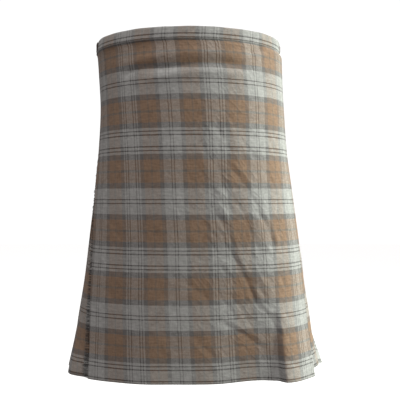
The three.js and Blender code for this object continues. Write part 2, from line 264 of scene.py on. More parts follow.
class Ring:
    """One closed ring of the form. place() gives the plan position of cloth on it."""

    def __init__(self, table, below):
        self.below = float(below)
        self.row = {name: float(curve_at(table, name, below)) for name in table[0] if name != "below"}
        row = self.row
        turn = 2 * np.pi * np.arange(RING_STEPS + 1) / RING_STEPS
        sine, cosine, power = np.sin(turn), np.cos(turn), 2 / row["power"]
        half_x, half_y = (row["right"] - row["left"]) / 2, (row["back"] - row["front"]) / 2
        self.x = (row["left"] + row["right"]) / 2 + half_x * np.sign(sine) * np.abs(sine) ** power
        self.y = (row["front"] + row["back"]) / 2 - half_y * np.sign(cosine) * np.abs(cosine) ** power
        self.alongs = np.concatenate([[0.0], np.cumsum(np.hypot(np.diff(self.x), np.diff(self.y)))])
        self.length = self.alongs[-1]

    def base(self, along):
        place = np.mod(along, self.length)
        return np.interp(place, self.alongs, self.x), np.interp(place, self.alongs, self.y)

    def place(self, along, depth):
        along = np.asarray(along, float)
        x, y = self.base(along)
        ahead_x, ahead_y = self.base(along + TANGENT_REACH)
        behind_x, behind_y = self.base(along - TANGENT_REACH)
        tangent_x, tangent_y = ahead_x - behind_x, ahead_y - behind_y
        size = np.hypot(tangent_x, tangent_y)
        out = fold_out(along, self.length, self.below) - depth
        return x + tangent_y / size * out, y - tangent_x / size * out


def crease_out(creases, along, below):
    """How far a table of creases pushes the cloth outward. A crease fades at its ends."""
    out = np.zeros_like(along)
    for crease in creases:
        run_a, run_s = crease["to_a"] - crease["a"], crease["to_s"] - crease["s"]
        length = math.hypot(run_a, run_s)
        on = ((along - crease["a"]) * run_a + (below - crease["s"]) * run_s) / length
        off = ((along - crease["a"]) * run_s - (below - crease["s"]) * run_a) / length
        bend = 0.03 * length * np.sin(np.pi * np.clip(on / length, 0, 1))
        share = np.clip(on / length, -0.35, 1.35)
        ends = smooth_rise((share + 0.3) / 0.5) * smooth_rise((1.3 - share) / 0.5)
        across = (off - bend) / crease["half"]
        out += crease["out"] * ends * np.exp(-np.abs(across) ** 1.6)
    return out


def chance_creases(seed, count, along_range, below_range, slant, length, out):
    """Small creases of uneven length, slant and depth for cloth that no table covers."""
    draw = np.random.default_rng(seed)
    creases = []
    for _ in range(count):
        a = draw.uniform(*along_range)
        s = draw.uniform(*below_range)
        angle = draw.normal(slant, 0.3)
        run = draw.uniform(*length)
        rise = draw.uniform(*out) * draw.choice([-1.0, 1.0])
        creases.append(dict(a=a, s=s, to_a=a + run * math.cos(angle), to_s=s + run * math.sin(angle),
                            half=draw.uniform(3.2, 7.0), out=rise))
    return creases


# ---- where the stripes lie ----

def warp_metres(along, below):
    """Cloth position across the upright stripes, 0 at a band with one pair of lines."""
    centre = curve_at(WARP, "centre", below)
    side = np.where(along < centre, curve_at(WARP, "left", below), curve_at(WARP, "right", below))
    return (along - centre) / side * HALF_SETT_WIDE * MM


def weft_metres(below):
    return (1.0 + np.interp(below, column(WEFT, "below"), column(WEFT, "level"))) * HALF_SETT_TALL * MM


# ---- meshes ----

def new_mesh(name, points, faces, uvs=None):
    """A smooth mesh from points in metres, faces as an array of equal rows, and a UV pair for each point."""
    mesh = bpy.data.meshes.new(name)
    count, corners = faces.shape
    mesh.vertices.add(len(points))
    mesh.vertices.foreach_set("co", np.asarray(points, np.float32).ravel())
    mesh.loops.add(count * corners)
    mesh.loops.foreach_set("vertex_index", faces.astype(np.int32).ravel())
    mesh.polygons.add(count)
    mesh.polygons.foreach_set("loop_start", np.arange(0, count * corners, corners, dtype=np.int32))
    mesh.polygons.foreach_set("use_smooth", np.ones(count, bool))
    mesh.update(calc_edges=True)
    if uvs is not None:
        layer = mesh.uv_layers.new(name="UVMap")
        layer.data.foreach_set("uv", np.asarray(uvs, np.float32)[faces.ravel()].ravel())
    mesh.validate()
    piece = bpy.data.objects.new(name, mesh)
    bpy.context.scene.collection.objects.link(piece)
    return piece


def grid_faces(rows, columns):
    """Quads of a grid of points, rows running down and columns running along, facing outward."""
    r = np.arange(rows - 1)[:, None]
    c = np.arange(columns - 1)[None, :]
    here = r * columns + c
    return np.stack([here, here + columns, here + columns + 1, here + 1], -1).reshape(-1, 4)


def round_points(line, radius, sides, closed=False):
    """Rings of points round a line of points. radius may differ from point to point."""
    if closed:
        tangent = np.roll(line, -1, axis=0) - np.roll(line, 1, axis=0)
    else:
        tangent = np.gradient(line, axis=0)
    tangent /= np.linalg.norm(tangent, axis=1)[:, None]
    hint = np.array([0.0, 0.0, 1.0]) if abs(tangent[:, 2]).max() < 0.9 else line.mean(0) * [1, 1, 0]
    side = np.cross(tangent, hint / np.linalg.norm(hint))
    side /= np.linalg.norm(side, axis=1)[:, None]
    up = np.cross(side, tangent)
    turn = 2 * np.pi * np.arange(sides) / sides
    radius = np.broadcast_to(radius, (len(line),))[:, None, None]
    ring = np.cos(turn)[None, :, None] * side[:, None] + np.sin(turn)[None, :, None] * up[:, None]
    return (line[:, None] + radius * ring).reshape(-1, 3)


def round_faces(count, sides, closed=False):
    """Quads between rings of points. count: how many rings."""
    r = np.arange(count if closed else count - 1)[:, None]
    c = np.arange(sides)[None, :]
    here, there = r * sides, ((r + 1) % count) * sides
    return np.stack([here + c, here + (c + 1) % sides, there + (c + 1) % sides, there + c], -1).reshape(-1, 4)


def thicken(piece, thickness):
    """Give a sheet its thickness, half on each side."""
    solid = piece.modifiers.new("thickness", "SOLIDIFY")
    solid.thickness = thickness * MM
    solid.offset = 0.0
    return piece


def cloth_grid(name, belows, line_on, thickness, creases, lift=FRONT_LIFT):
    """A cloth wall. line_on(ring) gives, for one ring, along, depth and warp metres of its columns."""
    points, uvs = [], []
    for below in belows:
        ring = Ring(RINGS, below)
        along, depth, warp = line_on(ring)
        out = crease_out(creases, along, np.full_like(along, below))
        near = np.clip((along - lift["along"]) / lift["half"], -1, 1)
        low = max(0.0, (below - LIFT_TOP) / (LENGTH - LIFT_TOP))
        up = lift["up"] * 0.5 * (1 + np.cos(np.pi * near)) * low ** 2
        x, y = ring.place(along, depth + lift["lean"] * up - out)
        points.append(np.stack([x, y, WAIST_DROP - below + up], -1))
        uvs.append(np.stack([warp, np.full_like(x, weft_metres(below))], -1))
    grid = np.array(points) * MM
    faces = grid_faces(len(belows), grid.shape[1])
    piece = new_mesh(name, grid.reshape(-1, 3), faces, np.array(uvs).reshape(-1, 2))
    return thicken(piece, thickness)


# ---- materials ----

class Nodes:
    """Short calls for building a material's nodes."""

    def __init__(self, name):
        self.material = bpy.data.materials.new(name)
        self.material.use_nodes = True
        self.tree = self.material.node_tree
        self.shader = self.tree.nodes["Principled BSDF"]

    def add(self, kind, inputs=(), **settings):
        node = self.tree.nodes.new(kind)
        for key, value in settings.items():
            setattr(node, key, value)
        for index, value in inputs:
            if isinstance(value, bpy.types.NodeSocket):
                self.tree.links.new(value, node.inputs[index])
            else:
                node.inputs[index].default_value = value
        return node

    def math(self, operation, *values):
        return self.add("ShaderNodeMath", list(enumerate(values)), operation=operation).outputs[0]

    def mix_color(self, blend, factor, a, b):
        node = self.add("ShaderNodeMix", [(0, factor), (6, a), (7, b)], data_type="RGBA", blend_type=blend)
        return node.outputs[2]

    def mix_value(self, factor, a, b):
        return self.add("ShaderNodeMix", [(0, factor), (2, a), (3, b)], data_type="FLOAT").outputs[0]

    def noise(self, vector, scale, detail=2.0, roughness=0.5):
        inputs = [("Vector", vector), ("Scale", scale), ("Detail", detail), ("Roughness", roughness)]
        return self.add("ShaderNodeTexNoise", inputs).outputs[0]

    def stretched(self, vector, angle, scale_x, scale_y):
        """The vector turned by angle and scaled along its new axes."""
        turned = self.add("ShaderNodeVectorRotate", [("Vector", vector), ("Angle", angle)]).outputs[0]
        return self.add("ShaderNodeVectorMath", [(0, turned), (1, (scale_x, scale_y, 1.0))],
                        operation="MULTIPLY").outputs[0]

    def link(self, socket, name):
        self.tree.links.new(socket, self.shader.inputs[name])


def sett_colour(nodes, metres, half_sett):
    """The colour of a yarn from its place across the stripes."""
    level = nodes.math("DIVIDE", metres, half_sett * MM)
    share = nodes.math("PINGPONG", level, 1.0)
    ramp = nodes.add("ShaderNodeValToRGB", [(0, share)])
    ramp.color_ramp.interpolation = "CONSTANT"
    stops = ramp.color_ramp.elements
    for _ in range(len(SETT) - 2):
        stops.new(0.5)
    for stop, stripe in zip(stops, SETT):
        stop.position = stripe["start"]
        stop.color = (*YARNS[stripe["yarn"]], 1.0)
    return ramp.outputs[0]


def tartan_material(name):
    """Brushed 2/2 twill. Each thread takes its colour from its own place in the sett."""
    nodes = Nodes(name)
    uv = nodes.add("ShaderNodeUVMap", uv_map="UVMap").outputs[0]
    split = nodes.add("ShaderNodeSeparateXYZ", [(0, uv)])
    u, v = split.outputs[0], split.outputs[1]
    wobble = nodes.noise(uv, 260.0, 1.0)
    shift = nodes.math("MULTIPLY", nodes.math("SUBTRACT", wobble, 0.5), 0.0009)
    u_soft, v_soft = nodes.math("ADD", u, shift), nodes.math("ADD", v, shift)
    warp = sett_colour(nodes, u_soft, HALF_SETT_WIDE)
    weft = sett_colour(nodes, v_soft, HALF_SETT_TALL)

    u_thread = nodes.math("DIVIDE", u, THREAD_PITCH)
    v_thread = nodes.math("DIVIDE", v, THREAD_PITCH)
    u_index, v_index = nodes.math("FLOOR", u_thread), nodes.math("FLOOR", v_thread)
    step = nodes.math("MODULO", nodes.math("ADD", nodes.math("ADD", u_index, v_index), AWAY_FROM_ZERO), 4.0)
    warp_up = nodes.math("LESS_THAN", step, 1.5)
    mask = nodes.mix_value(warp_up, WARP_UNDER, WARP_OVER)
    colour = nodes.mix_color("MIX", mask, weft, warp)

    u_streak = nodes.add("ShaderNodeCombineXYZ", [(0, u_index), (1, nodes.math("MULTIPLY", v, 55.0))])
    v_streak = nodes.add("ShaderNodeCombineXYZ", [(0, nodes.math("MULTIPLY", u, 55.0)), (1, v_index)])
    yarn_u = nodes.noise(u_streak.outputs[0], 0.9, 1.0)
    yarn_v = nodes.noise(v_streak.outputs[0], 0.9, 1.0)
    yarn = nodes.mix_value(warp_up, yarn_v, yarn_u)
    parts = dict(yarn=yarn, cloudy=nodes.noise(uv, 26.0, 3.0, 0.6),
                 level_slubs=nodes.noise(nodes.stretched(uv, 0.0, 70.0, 330.0), 1.0, 1.5, 0.6),
                 upright_slubs=nodes.noise(nodes.stretched(uv, 0.0, 360.0, 80.0), 1.0, 1.5, 0.6))
    tone = 1.0 - 0.5 * sum(TONE_SHARES.values())
    for part, share in TONE_SHARES.items():
        tone = nodes.math("ADD", nodes.math("MULTIPLY", parts[part], share), tone)
    tone_colour = nodes.add("ShaderNodeCombineColor", [(0, tone), (1, tone), (2, tone)]).outputs[0]
    colour = nodes.mix_color("MULTIPLY", 1.0, colour, tone_colour)
    nodes.link(colour, "Base Color")

    u_round = nodes.math("SUBTRACT", 1.0, nodes.math("POWER", centred(nodes, u_thread), 2.0))
    v_round = nodes.math("SUBTRACT", 1.0, nodes.math("POWER", centred(nodes, v_thread), 2.0))
    height = nodes.mix_value(warp_up, v_round, u_round)
    fuzz = nodes.noise(uv, 4200.0, 2.0, 0.7)
    height = nodes.math("ADD", height, nodes.math("MULTIPLY", fuzz, 0.6))
    rumple = crumple(nodes, uv, -0.95, 26.0, 62.0, 4.0)
    rumple = nodes.math("ADD", rumple, crumple(nodes, uv, 0.35, 40.0, 75.0, 3.0))
    leftward = nodes.add("ShaderNodeMapRange", [("Value", u), ("From Min", -0.02), ("From Max", 0.09),
                                                ("To Min", 0.55), ("To Max", 1.0)]).outputs[0]
    folds = nodes.add("ShaderNodeBump", [("Strength", 1.0), ("Distance", 0.00026),
                                         ("Height", nodes.math("MULTIPLY", rumple, leftward))])
    bump = nodes.add("ShaderNodeBump", [("Strength", 0.35), ("Distance", 0.00022), ("Height", height),
                                        ("Normal", folds.outputs[0])])
    nodes.link(bump.outputs[0], "Normal")
    nodes.shader.inputs["Roughness"].default_value = 0.93
    nodes.shader.inputs["Specular IOR Level"].default_value = 0.18
    nodes.shader.inputs["Sheen Weight"].default_value = 0.12
    nodes.shader.inputs["Sheen Roughness"].default_value = 0.55
    return nodes.material


def crumple(nodes, uv, angle, scale_x, scale_y, sharpness):
    """Thin crease lines, 0 to 1, from the places where a stretched noise crosses its middle."""
    wander = nodes.noise(nodes.stretched(uv, angle, scale_x, scale_y), 1.0, 1.5, 0.55)
    away = nodes.math("ABSOLUTE", nodes.math("SUBTRACT", wander, 0.5))
    line = nodes.math("SUBTRACT", 1.0, nodes.math("MULTIPLY", away, sharpness))
    return nodes.math("POWER", nodes.math("MAXIMUM", line, 0.0), 3.0)


def centred(nodes, thread):
    """-1 to 1 across each thread."""
    share = nodes.math("FRACT", nodes.math("ADD", thread, AWAY_FROM_ZERO))
    return nodes.math("SUBTRACT", nodes.math("MULTIPLY", share, 2.0), 1.0)


def fringe_material():
    """Loose yarn ends in the level stripes' colours. Most are darkened well below their yarn colour, painted
    shade for the gaps between clumped strands and under the raw edge; about one in five is brighter than its
    yarn colour.
    """
    nodes = Nodes("fringe_yarn")
    uv = nodes.add("ShaderNodeUVMap", uv_map="UVMap").outputs[0]
    split = nodes.add("ShaderNodeSeparateXYZ", [(0, uv)])
    weft = sett_colour(nodes, split.outputs[1], HALF_SETT_TALL)
    pick = nodes.add("ShaderNodeTexWhiteNoise", [("W", split.outputs[1])], noise_dimensions="1D").outputs[0]
    # Painted shade: strands whose pick is under 0.8 keep only a fifth to two fifths of their yarn colour, for
    # the shade between clumped strands and under the raw edge. The others are lifted above their yarn colour.
    brighter_strand = nodes.math("GREATER_THAN", pick, 0.80)
    tone = nodes.math("ADD", nodes.math("MULTIPLY", pick, 0.24), nodes.math("MULTIPLY", brighter_strand, 0.95))
    tone = nodes.math("ADD", tone, 0.20)
    twist = nodes.noise(uv, 1500.0, 1.0)
    tone = nodes.math("MULTIPLY", tone, nodes.math("ADD", nodes.math("MULTIPLY", twist, 0.5), 0.75))
    tone_colour = nodes.add("ShaderNodeCombineColor", [(0, tone), (1, tone), (2, tone)]).outputs[0]
    nodes.link(nodes.mix_color("MULTIPLY", 1.0, weft, tone_colour), "Base Color")
    bump = nodes.add("ShaderNodeBump", [("Strength", 0.5), ("Distance", 0.0002), ("Height", twist)])
    nodes.link(bump.outputs[0], "Normal")
    nodes.shader.inputs["Roughness"].default_value = 0.95
    nodes.shader.inputs["Specular IOR Level"].default_value = 0.15
    nodes.shader.inputs["Sheen Weight"].default_value = 0.2
    return nodes.material


# ---- cloth pieces ----

CLOTH_BELOWS = np.concatenate([np.arange(BAND_HEIGHT - CLOTH_TUCK, 40, 1.8), np.linspace(40, LENGTH, 208)])
COARSE_BELOWS = np.concatenate([np.arange(BAND_HEIGHT - CLOTH_TUCK, 40, 3.0), np.linspace(40, LENGTH, 84)])


def rounded_turn(edge, outer, inner):
    """Along and depth round a folded edge, from the outer layer to the inner one."""
    angle = np.linspace(-math.pi / 2, math.pi / 2, 5)
    radius = (inner - outer) / 2
    return edge - radius + radius * np.cos(angle), (outer + inner) / 2 + radius * np.sin(angle)


def over_apron_line(ring):
    """Raw edge, front and turned edge. Columns are close together where the creases are."""
    row = ring.row
    middle = CLOTH_THICKNESS / 2
    inner = middle + TURNED_DEPTH
    front = np.concatenate([np.linspace(-row["open"], CREASED_FROM, 66)[:-1],
                            np.linspace(CREASED_FROM, CREASED_TO, 94)[:-1],
                            np.linspace(CREASED_TO, row["fold"] - 1.0, 16)])
    turn_along, turn_depth = rounded_turn(row["fold"], middle, inner)
    back = np.linspace(row["fold"] - 1.5, row["fold"] - TURNED_WIDTH, 9)
    along = np.concatenate([front, turn_along, back])
    depth = np.concatenate([np.full_like(front, middle), turn_depth, np.full_like(back, inner)])
    return along, depth, warp_metres(along, ring.below)


def make_over_apron(material):
    small = chance_creases(11, 120, (5, 165), (150, 600), slant=1.0, length=(10, 44), out=(0.2, 0.75))
    small += chance_creases(12, 22, (-190, 20), (150, 590), slant=0.9, length=(14, 40), out=(0.12, 0.4))
    piece = cloth_grid("over_apron_cloth", CLOTH_BELOWS, over_apron_line, CLOTH_THICKNESS,
                       APRON_CREASES + small)
    piece.data.materials.append(material)
    return piece


def under_apron_line(ring):
    row = ring.row
    start = -(row["last"] + pleat_width(ring) * PLEAT_UNDERLAP) + 0.5
    end = row["fold"] - TURNED_WIDTH + PLEAT_TUCK
    along = np.linspace(start, end, 150)
    depth = np.full_like(along, UNDER_DEPTH + CLOTH_THICKNESS / 2)
    return along, depth, (along - UNDER_SETT_START) * MM


def make_under_apron(material):
    small = chance_creases(21, 14, (-250, -190), (300, 600), slant=1.3, length=(20, 60), out=(0.2, 0.6))
    small += chance_creases(22, 18, (-180, 180), (80, 590), slant=1.0, length=(20, 60), out=(0.2, 0.6))
    piece = cloth_grid("under_apron_cloth", COARSE_BELOWS, under_apron_line, CLOTH_THICKNESS, small)
    piece.data.materials.append(material)
    return piece


def pleat_start(ring):
    return ring.row["fold"] - PLEAT_TUCK


def pleat_width(ring):
    return (ring.length - ring.row["last"] - pleat_start(ring)) / (PLEAT_COUNT + PLEAT_UNDERLAP)


def pleats_line(ring):
    """Knife pleats: each face rises to its folded edge, turns under it and goes on to the next. The sett runs
    on from face to face, square to each folded edge."""
    width, start = pleat_width(ring), pleat_start(ring)
    pressed_range = [BAND_HEIGHT - CLOTH_TUCK, PRESSED_TO]
    layer = PLEAT_LAYER * float(np.interp(ring.below, pressed_range, [PRESSED_SHARE, 1.0]))
    full = 2 * layer * (1 + PLEAT_UNDERLAP)
    top = PLEAT_THICKNESS / 2
    loose = float(smooth_rise((ring.below - LOOSE_FROM) / LOOSE_RUN))
    fold_level = warp_metres(ring.row["fold"], ring.below)
    draw = np.random.default_rng(5)
    alongs, depths, warps = [], [], []
    for pleat in range(PLEAT_COUNT):
        swing = draw.normal(0, LOOSE_SWING) * loose
        lift = draw.uniform(0, LOOSE_LIFT) * loose
        origin = start + pleat * width
        edge = origin + (1 + PLEAT_UNDERLAP) * width + swing
        share = np.linspace(0, 1, 9)
        face = origin + (edge - origin) * share
        belly = np.sin(np.pi * share) * LOOSE_BELLY * loose
        face_depth = top + full * (1 - share) - belly - lift * share
        turn_along, turn_depth = rounded_turn(edge, face_depth[-1], top + layer)
        back = np.linspace(edge - 1.0, origin + width + 0.4, 4)
        back_depth = top + layer * (1 + np.linspace(0, 1, 4))
        alongs += [face[:-1], turn_along, back]
        depths += [face_depth[:-1], turn_depth, back_depth]
        edge_warp = fold_level + (pleat + FIRST_EDGE_SETTS) * HALF_SETTS_PER_PLEAT * HALF_SETT_WIDE * MM
        warps += [edge_warp + (face[:-1] - edge) * MM, np.full_like(turn_along, edge_warp),
                  edge_warp + (edge - back) * MM]
    return np.concatenate(alongs), np.concatenate(depths), np.concatenate(warps)


def make_pleats(material):
    small = chance_creases(31, 46, (240, 1000), (240, 600), slant=1.35, length=(20, 70), out=(0.2, 0.7))
    piece = cloth_grid("pleated_back_cloth", COARSE_BELOWS, pleats_line, PLEAT_THICKNESS, small,
                       lift=PLEAT_LIFT)
    piece.data.materials.append(material)
    return piece


# ---- waistband ----

BAND_JOG = 14.0
BAND_MIDDLE = 1.5
BAND_UNDER_MIDDLE = UNDER_DEPTH + 1.25
LEG_OUT, LEG_TOP, TOP_RISE = 0.85, 1.3, 0.7
WAIST_OPEN, WAIST_FOLD = 232.0, 218.0


def band_section():
    """The folded strip's section as (out, below) points: up its inner leg, over the top and down again."""
    points = [(-LEG_OUT, below) for below in np.linspace(BAND_HEIGHT - 0.6, LEG_TOP, 7)[:-1]]
    points += [(-LEG_OUT * math.cos(a), LEG_TOP - TOP_RISE * math.sin(a)) for a in np.linspace(0, math.pi, 7)]
    points += [(LEG_OUT, below) for below in np.linspace(LEG_TOP, BAND_HEIGHT, 9)[1:]]
    return points


def make_waistband(material):
    """One folded strip that starts at the raw edge, goes right round and ends under itself."""
    ring = Ring(BAND_RINGS, 10)
    jog_end = ring.length - WAIST_OPEN - FRINGE_REACH - 3
    end = ring.length + WAIST_FOLD - TURNED_WIDTH
    along = np.concatenate([np.linspace(-WAIST_OPEN, jog_end - BAND_JOG, 230),
                            np.linspace(jog_end - BAND_JOG, jog_end, 8)[1:-1], np.linspace(jog_end, end, 80)])
    inward = smooth_rise((along - jog_end + BAND_JOG) / BAND_JOG)
    middle = BAND_MIDDLE + (BAND_UNDER_MIDDLE - BAND_MIDDLE) * inward
    wave = 0.35 * np.sin(along / 17.0) + 0.25 * np.sin(along / 7.3 + 1.0)
    lines, uvs = [], []
    for out, below in band_section():
        level = Ring(BAND_RINGS, below)
        facing = 1 if out > 0 else -1
        puff = 0.25 * math.sin(math.pi * below / BAND_HEIGHT) * facing
        x, y = level.place(along * level.length / ring.length, middle - out - puff - wave * 0.5)
        z = np.full_like(x, WAIST_DROP - below) + wave * 0.4 * (below < 6)
        lines.append(np.stack([x, y, z], -1))
        level_metres = 3 * HALF_SETT_TALL + (below - BAND_STRIPE_BELOW) * facing
        uvs.append(np.stack([warp_metres(along, 21.0), np.full_like(x, level_metres * MM)], -1))
    grid = np.array(lines) * MM
    piece = new_mesh("waistband_strip", grid.reshape(-1, 3), grid_faces(len(lines), len(along)),
                     np.array(uvs).reshape(-1, 2))
    piece.data.materials.append(material)
    return thicken(piece, CLOTH_THICKNESS)


# ---- fringe ----

def make_fringe(material):
    """Yarn ends of the level threads, combed out past the raw edge, in uneven clumps."""
    draw = np.random.default_rng(7)
    sides, rings = 5, 5
    points, uvs = [], []
    share = np.linspace(0, 1, rings)
    left = 0
    for below in np.arange(BAND_HEIGHT + 1.0, LENGTH - 1.0, FRINGE_PITCH):
        if left == 0:
            left = int(draw.integers(3, 8))
            clump = below + left * 0.45
            droop = draw.normal(0.6, 0.9)
            reach_scale = draw.uniform(0.72, 1.0)
            lift = draw.uniform(-0.5, 0.9)
        left -= 1
        ring = Ring(RINGS, below)
        low = float(smooth_rise((below - FRINGE_WIDER_FROM) / (LENGTH - FRINGE_WIDER_FROM)))
        reach = FRINGE_REACH * reach_scale * draw.uniform(0.86, 1.0) * (1 + FRINGE_WIDER * low)
        tip_below = below + (clump - below) * 0.55 + droop + draw.normal(0, 0.35)
        along = -ring.row["open"] + 1.2 - reach * share
        depth = 0.55 - lift * share - 0.35 * np.sin(np.pi * share * draw.uniform(0.7, 1.6))
        drop = below + (tip_below - below) * share ** 1.5
        x, y = ring.place(along, depth)
        centre = np.stack([x, y, WAIST_DROP - drop], -1)
        radius = draw.uniform(0.36, 0.55) * (1 - 0.45 * share)
        points.append(round_points(centre, radius, sides))
        along_yarn = np.repeat(share * reach * MM, sides)
        uvs.append(np.stack([along_yarn, np.full_like(along_yarn, weft_metres(below))], -1))
    first = np.arange(len(points)) * sides * rings
    faces = (round_faces(rings, sides)[None] + first[:, None, None]).reshape(-1, 4)
    piece = new_mesh("fringe_yarns", np.concatenate(points) * MM, faces, np.concatenate(uvs))
    piece.data.materials.append(material)
    return piece


# ---- straps and buckles ----

STRAP_BELOW = 10.6
STRAP_HALF = 7.0
STRAP_THICKNESS = 1.3
STRAP_OUT = 0.95
STRAP_PAST_BUCKLE = 22.0
TAB_THICKNESS, TAB_HALF = 0.95, 5.2
END_ROUND = 2.0
TIP_HALF, TIP_SPREAD = 1.6, 0.62
BUCKLE_OUT = 4.6
BUCKLE_LENGTH, BUCKLE_HEIGHT, BUCKLE_WIRE = 22.0, 20.0, 2.4
OUTER_TIP, OUTER_START = -WAIST_OPEN - 52.0, -WAIST_OPEN + 34.0
SLIT = 226.0
INNER_START, INNER_TIP = SLIT - 42.0, SLIT + 58.0


def on_band(along, out, below):
    """A point outside the waistband, in millimetres."""
    ring = Ring(BAND_RINGS, STRAP_BELOW)
    x, y = ring.place(along, -np.asarray(out, float))
    return np.stack([x, y, WAIST_DROP - np.broadcast_to(below, x.shape)], -1)


def leather_strip(name, path, thickness, half, pointed=False):
    """A strap along a path of (along, out) places, with rounded edges. A pointed one ends in a tip."""
    path = np.array(path, float)
    steps = np.concatenate([[0.0], np.cumsum(np.hypot(*np.diff(path, axis=0).T))])
    places = np.linspace(0, steps[-1], max(12, int(steps[-1] / 1.1)))
    along, out = np.interp(places, steps, path[:, 0]), np.interp(places, steps, path[:, 1])
    run = np.gradient(np.stack([along, out], -1), axis=0)
    run /= np.linalg.norm(run, axis=1)[:, None]
    facing = np.stack([-run[:, 1], run[:, 0]], -1)
    if facing[len(facing) // 2, 1] < 0:
        facing = -facing
    to_end = np.minimum(places, places[-1] - places)
    width = half - END_ROUND * (1 - np.sqrt(np.clip(to_end / END_ROUND, 0, 1)))
    if pointed:
        width = np.minimum(width, TIP_HALF + (places[-1] - places) * TIP_SPREAD)
    thick = thickness / 2
    section = [(-thick, -0.86), (-thick, 0.0), (-thick, 0.86), (-thick * 0.5, 1.0), (thick * 0.5, 1.0),
               (thick, 0.86), (thick, 0.0), (thick, -0.86), (thick * 0.5, -1.0), (-thick * 0.5, -1.0)]
    lines, uvs = [], []
    for offset, side in section:
        lines.append(on_band(along + facing[:, 0] * offset, out + facing[:, 1] * offset,
                             STRAP_BELOW + side * width))
        uvs.append(np.stack([places * MM, side * width * MM + (0.1 if offset < 0 else 0.0)], -1))
    count = len(along)
    grid = np.array(lines)
    faces = grid_faces(len(section), count)
    last = (len(section) - 1) * count
    c = np.arange(count - 1)
    faces = np.concatenate([faces, np.stack([last + c, c, c + 1, last + c + 1], -1)])
    caps = np.array([(0, 1, 8, 9), (1, 2, 7, 8), (2, 3, 4, 7), (4, 5, 6, 7)]) * count
    faces = np.concatenate([faces, caps[:, ::-1], caps + count - 1])
    piece = new_mesh(name, grid.reshape(-1, 3) * MM, faces, np.array(uvs).reshape(-1, 2))
    fix_normals(piece)
    return piece


def fix_normals(piece):
    work = bmesh.new()
    work.from_mesh(piece.data)
    bmesh.ops.recalc_face_normals(work, faces=work.faces)
    work.to_mesh(piece.data)
    work.free()


def tube(line, radius, sides=8, closed=False):
    """Points and faces of a round wire along a line of points, with flat ends where it isn't closed."""
    count = len(line)
    faces = round_faces(count, sides, closed)
    if not closed:
        end = (count - 1) * sides
        caps = [[k, k + 1, sides - 2 - k, sides - 1 - k] for k in range(sides // 2 - 1)]
        faces = np.concatenate([faces, np.array(caps)[:, ::-1], np.array(caps) + end])
    return round_points(line, radius, sides, closed), faces


def wires(name, parts):
    """One mesh from many wires."""
    points, faces, first = [], [], 0
    for part_points, part_faces in parts:
        points.append(part_points)
        faces.append(part_faces + first)
        first += len(part_points)
    piece = new_mesh(name, np.concatenate(points) * MM, np.concatenate(faces))
    fix_normals(piece)
    return piece


def buckle_line(centre, length, height, corner):
    """A rounded rectangle of wire standing just outside the strap."""
    points = []
    for turn in range(4):
        across = (1, 1, -1, -1)[turn]
        down = (1, -1, -1, 1)[turn]
        start = (0.0, -math.pi / 2, -math.pi, -1.5 * math.pi)[turn]
        for step in np.linspace(0, 1, 6):
            angle = math.pi / 2 + start - step * math.pi / 2
            a = across * (length / 2 - corner) + corner * math.cos(angle)
            d = down * (height / 2 - corner) + corner * math.sin(angle)
            points.append((a, d))
    along = np.array([p[0] for p in points])
    below = np.array([p[1] for p in points])
    bow = 0.5 * np.cos(np.pi * along / length)
    return on_band(centre + along, BUCKLE_OUT + bow, STRAP_BELOW + below)


def make_buckle(side, centre, toward_tab):
    """A frame of round wire, and a tongue that loops round the bar by its tab and rests on the far bar."""
    outline = buckle_line(centre, BUCKLE_LENGTH - BUCKLE_WIRE, BUCKLE_HEIGHT - BUCKLE_WIRE, 3.4)
    frame_piece = wires("buckle_" + side + "_wire", [tube(outline, BUCKLE_WIRE / 2, 10, closed=True)])
    reach = BUCKLE_LENGTH / 2 - BUCKLE_WIRE / 2
    share = np.linspace(0, 1, 14)
    along = centre + toward_tab * (reach - 1.6) - toward_tab * share * (2 * reach - 0.6)
    out = BUCKLE_OUT + 0.9 + 0.5 * np.sin(np.pi * share)
    pin = tube(on_band(along, out, np.full(14, STRAP_BELOW)), 1.05 - 0.35 * share, 8)
    angle = np.linspace(0.35 * math.pi, 1.9 * math.pi, 12)
    loop_along = centre + toward_tab * (reach - 1.9 * np.cos(angle + math.pi))
    loop = tube(on_band(loop_along, BUCKLE_OUT + 1.7 * np.sin(angle), np.full(12, STRAP_BELOW)), 0.8, 8)
    tongue_piece = wires("buckle_" + side + "_pin", [pin, loop])
    return frame_piece, tongue_piece


def make_tab(side, centre, tip, toward_tab):
    """The leather tab: sewn on the band behind the strap's tip, it runs up over the tip and round the bar."""
    bar = centre + toward_tab * (BUCKLE_LENGTH - BUCKLE_WIRE) / 2
    path = [(tip + toward_tab * 31, STRAP_OUT), (tip + toward_tab * 3.5, STRAP_OUT),
            (tip + toward_tab * 1.2, 2.0), (tip - toward_tab * 1.5, 3.05), (bar + toward_tab * 2.6, 3.1)]
    path += [(bar - toward_tab * 2.0 * math.sin(a), BUCKLE_OUT - 2.0 * math.cos(a))
             for a in np.linspace(0.15 * math.pi, 0.85 * math.pi, 7)]
    path += [(bar + toward_tab * 2.4, BUCKLE_OUT + 1.6), (bar + toward_tab * 6.5, 4.3),
             (bar + toward_tab * 8.5, 3.9)]
    return leather_strip("buckle_" + side + "_leather", path, TAB_THICKNESS, TAB_HALF)


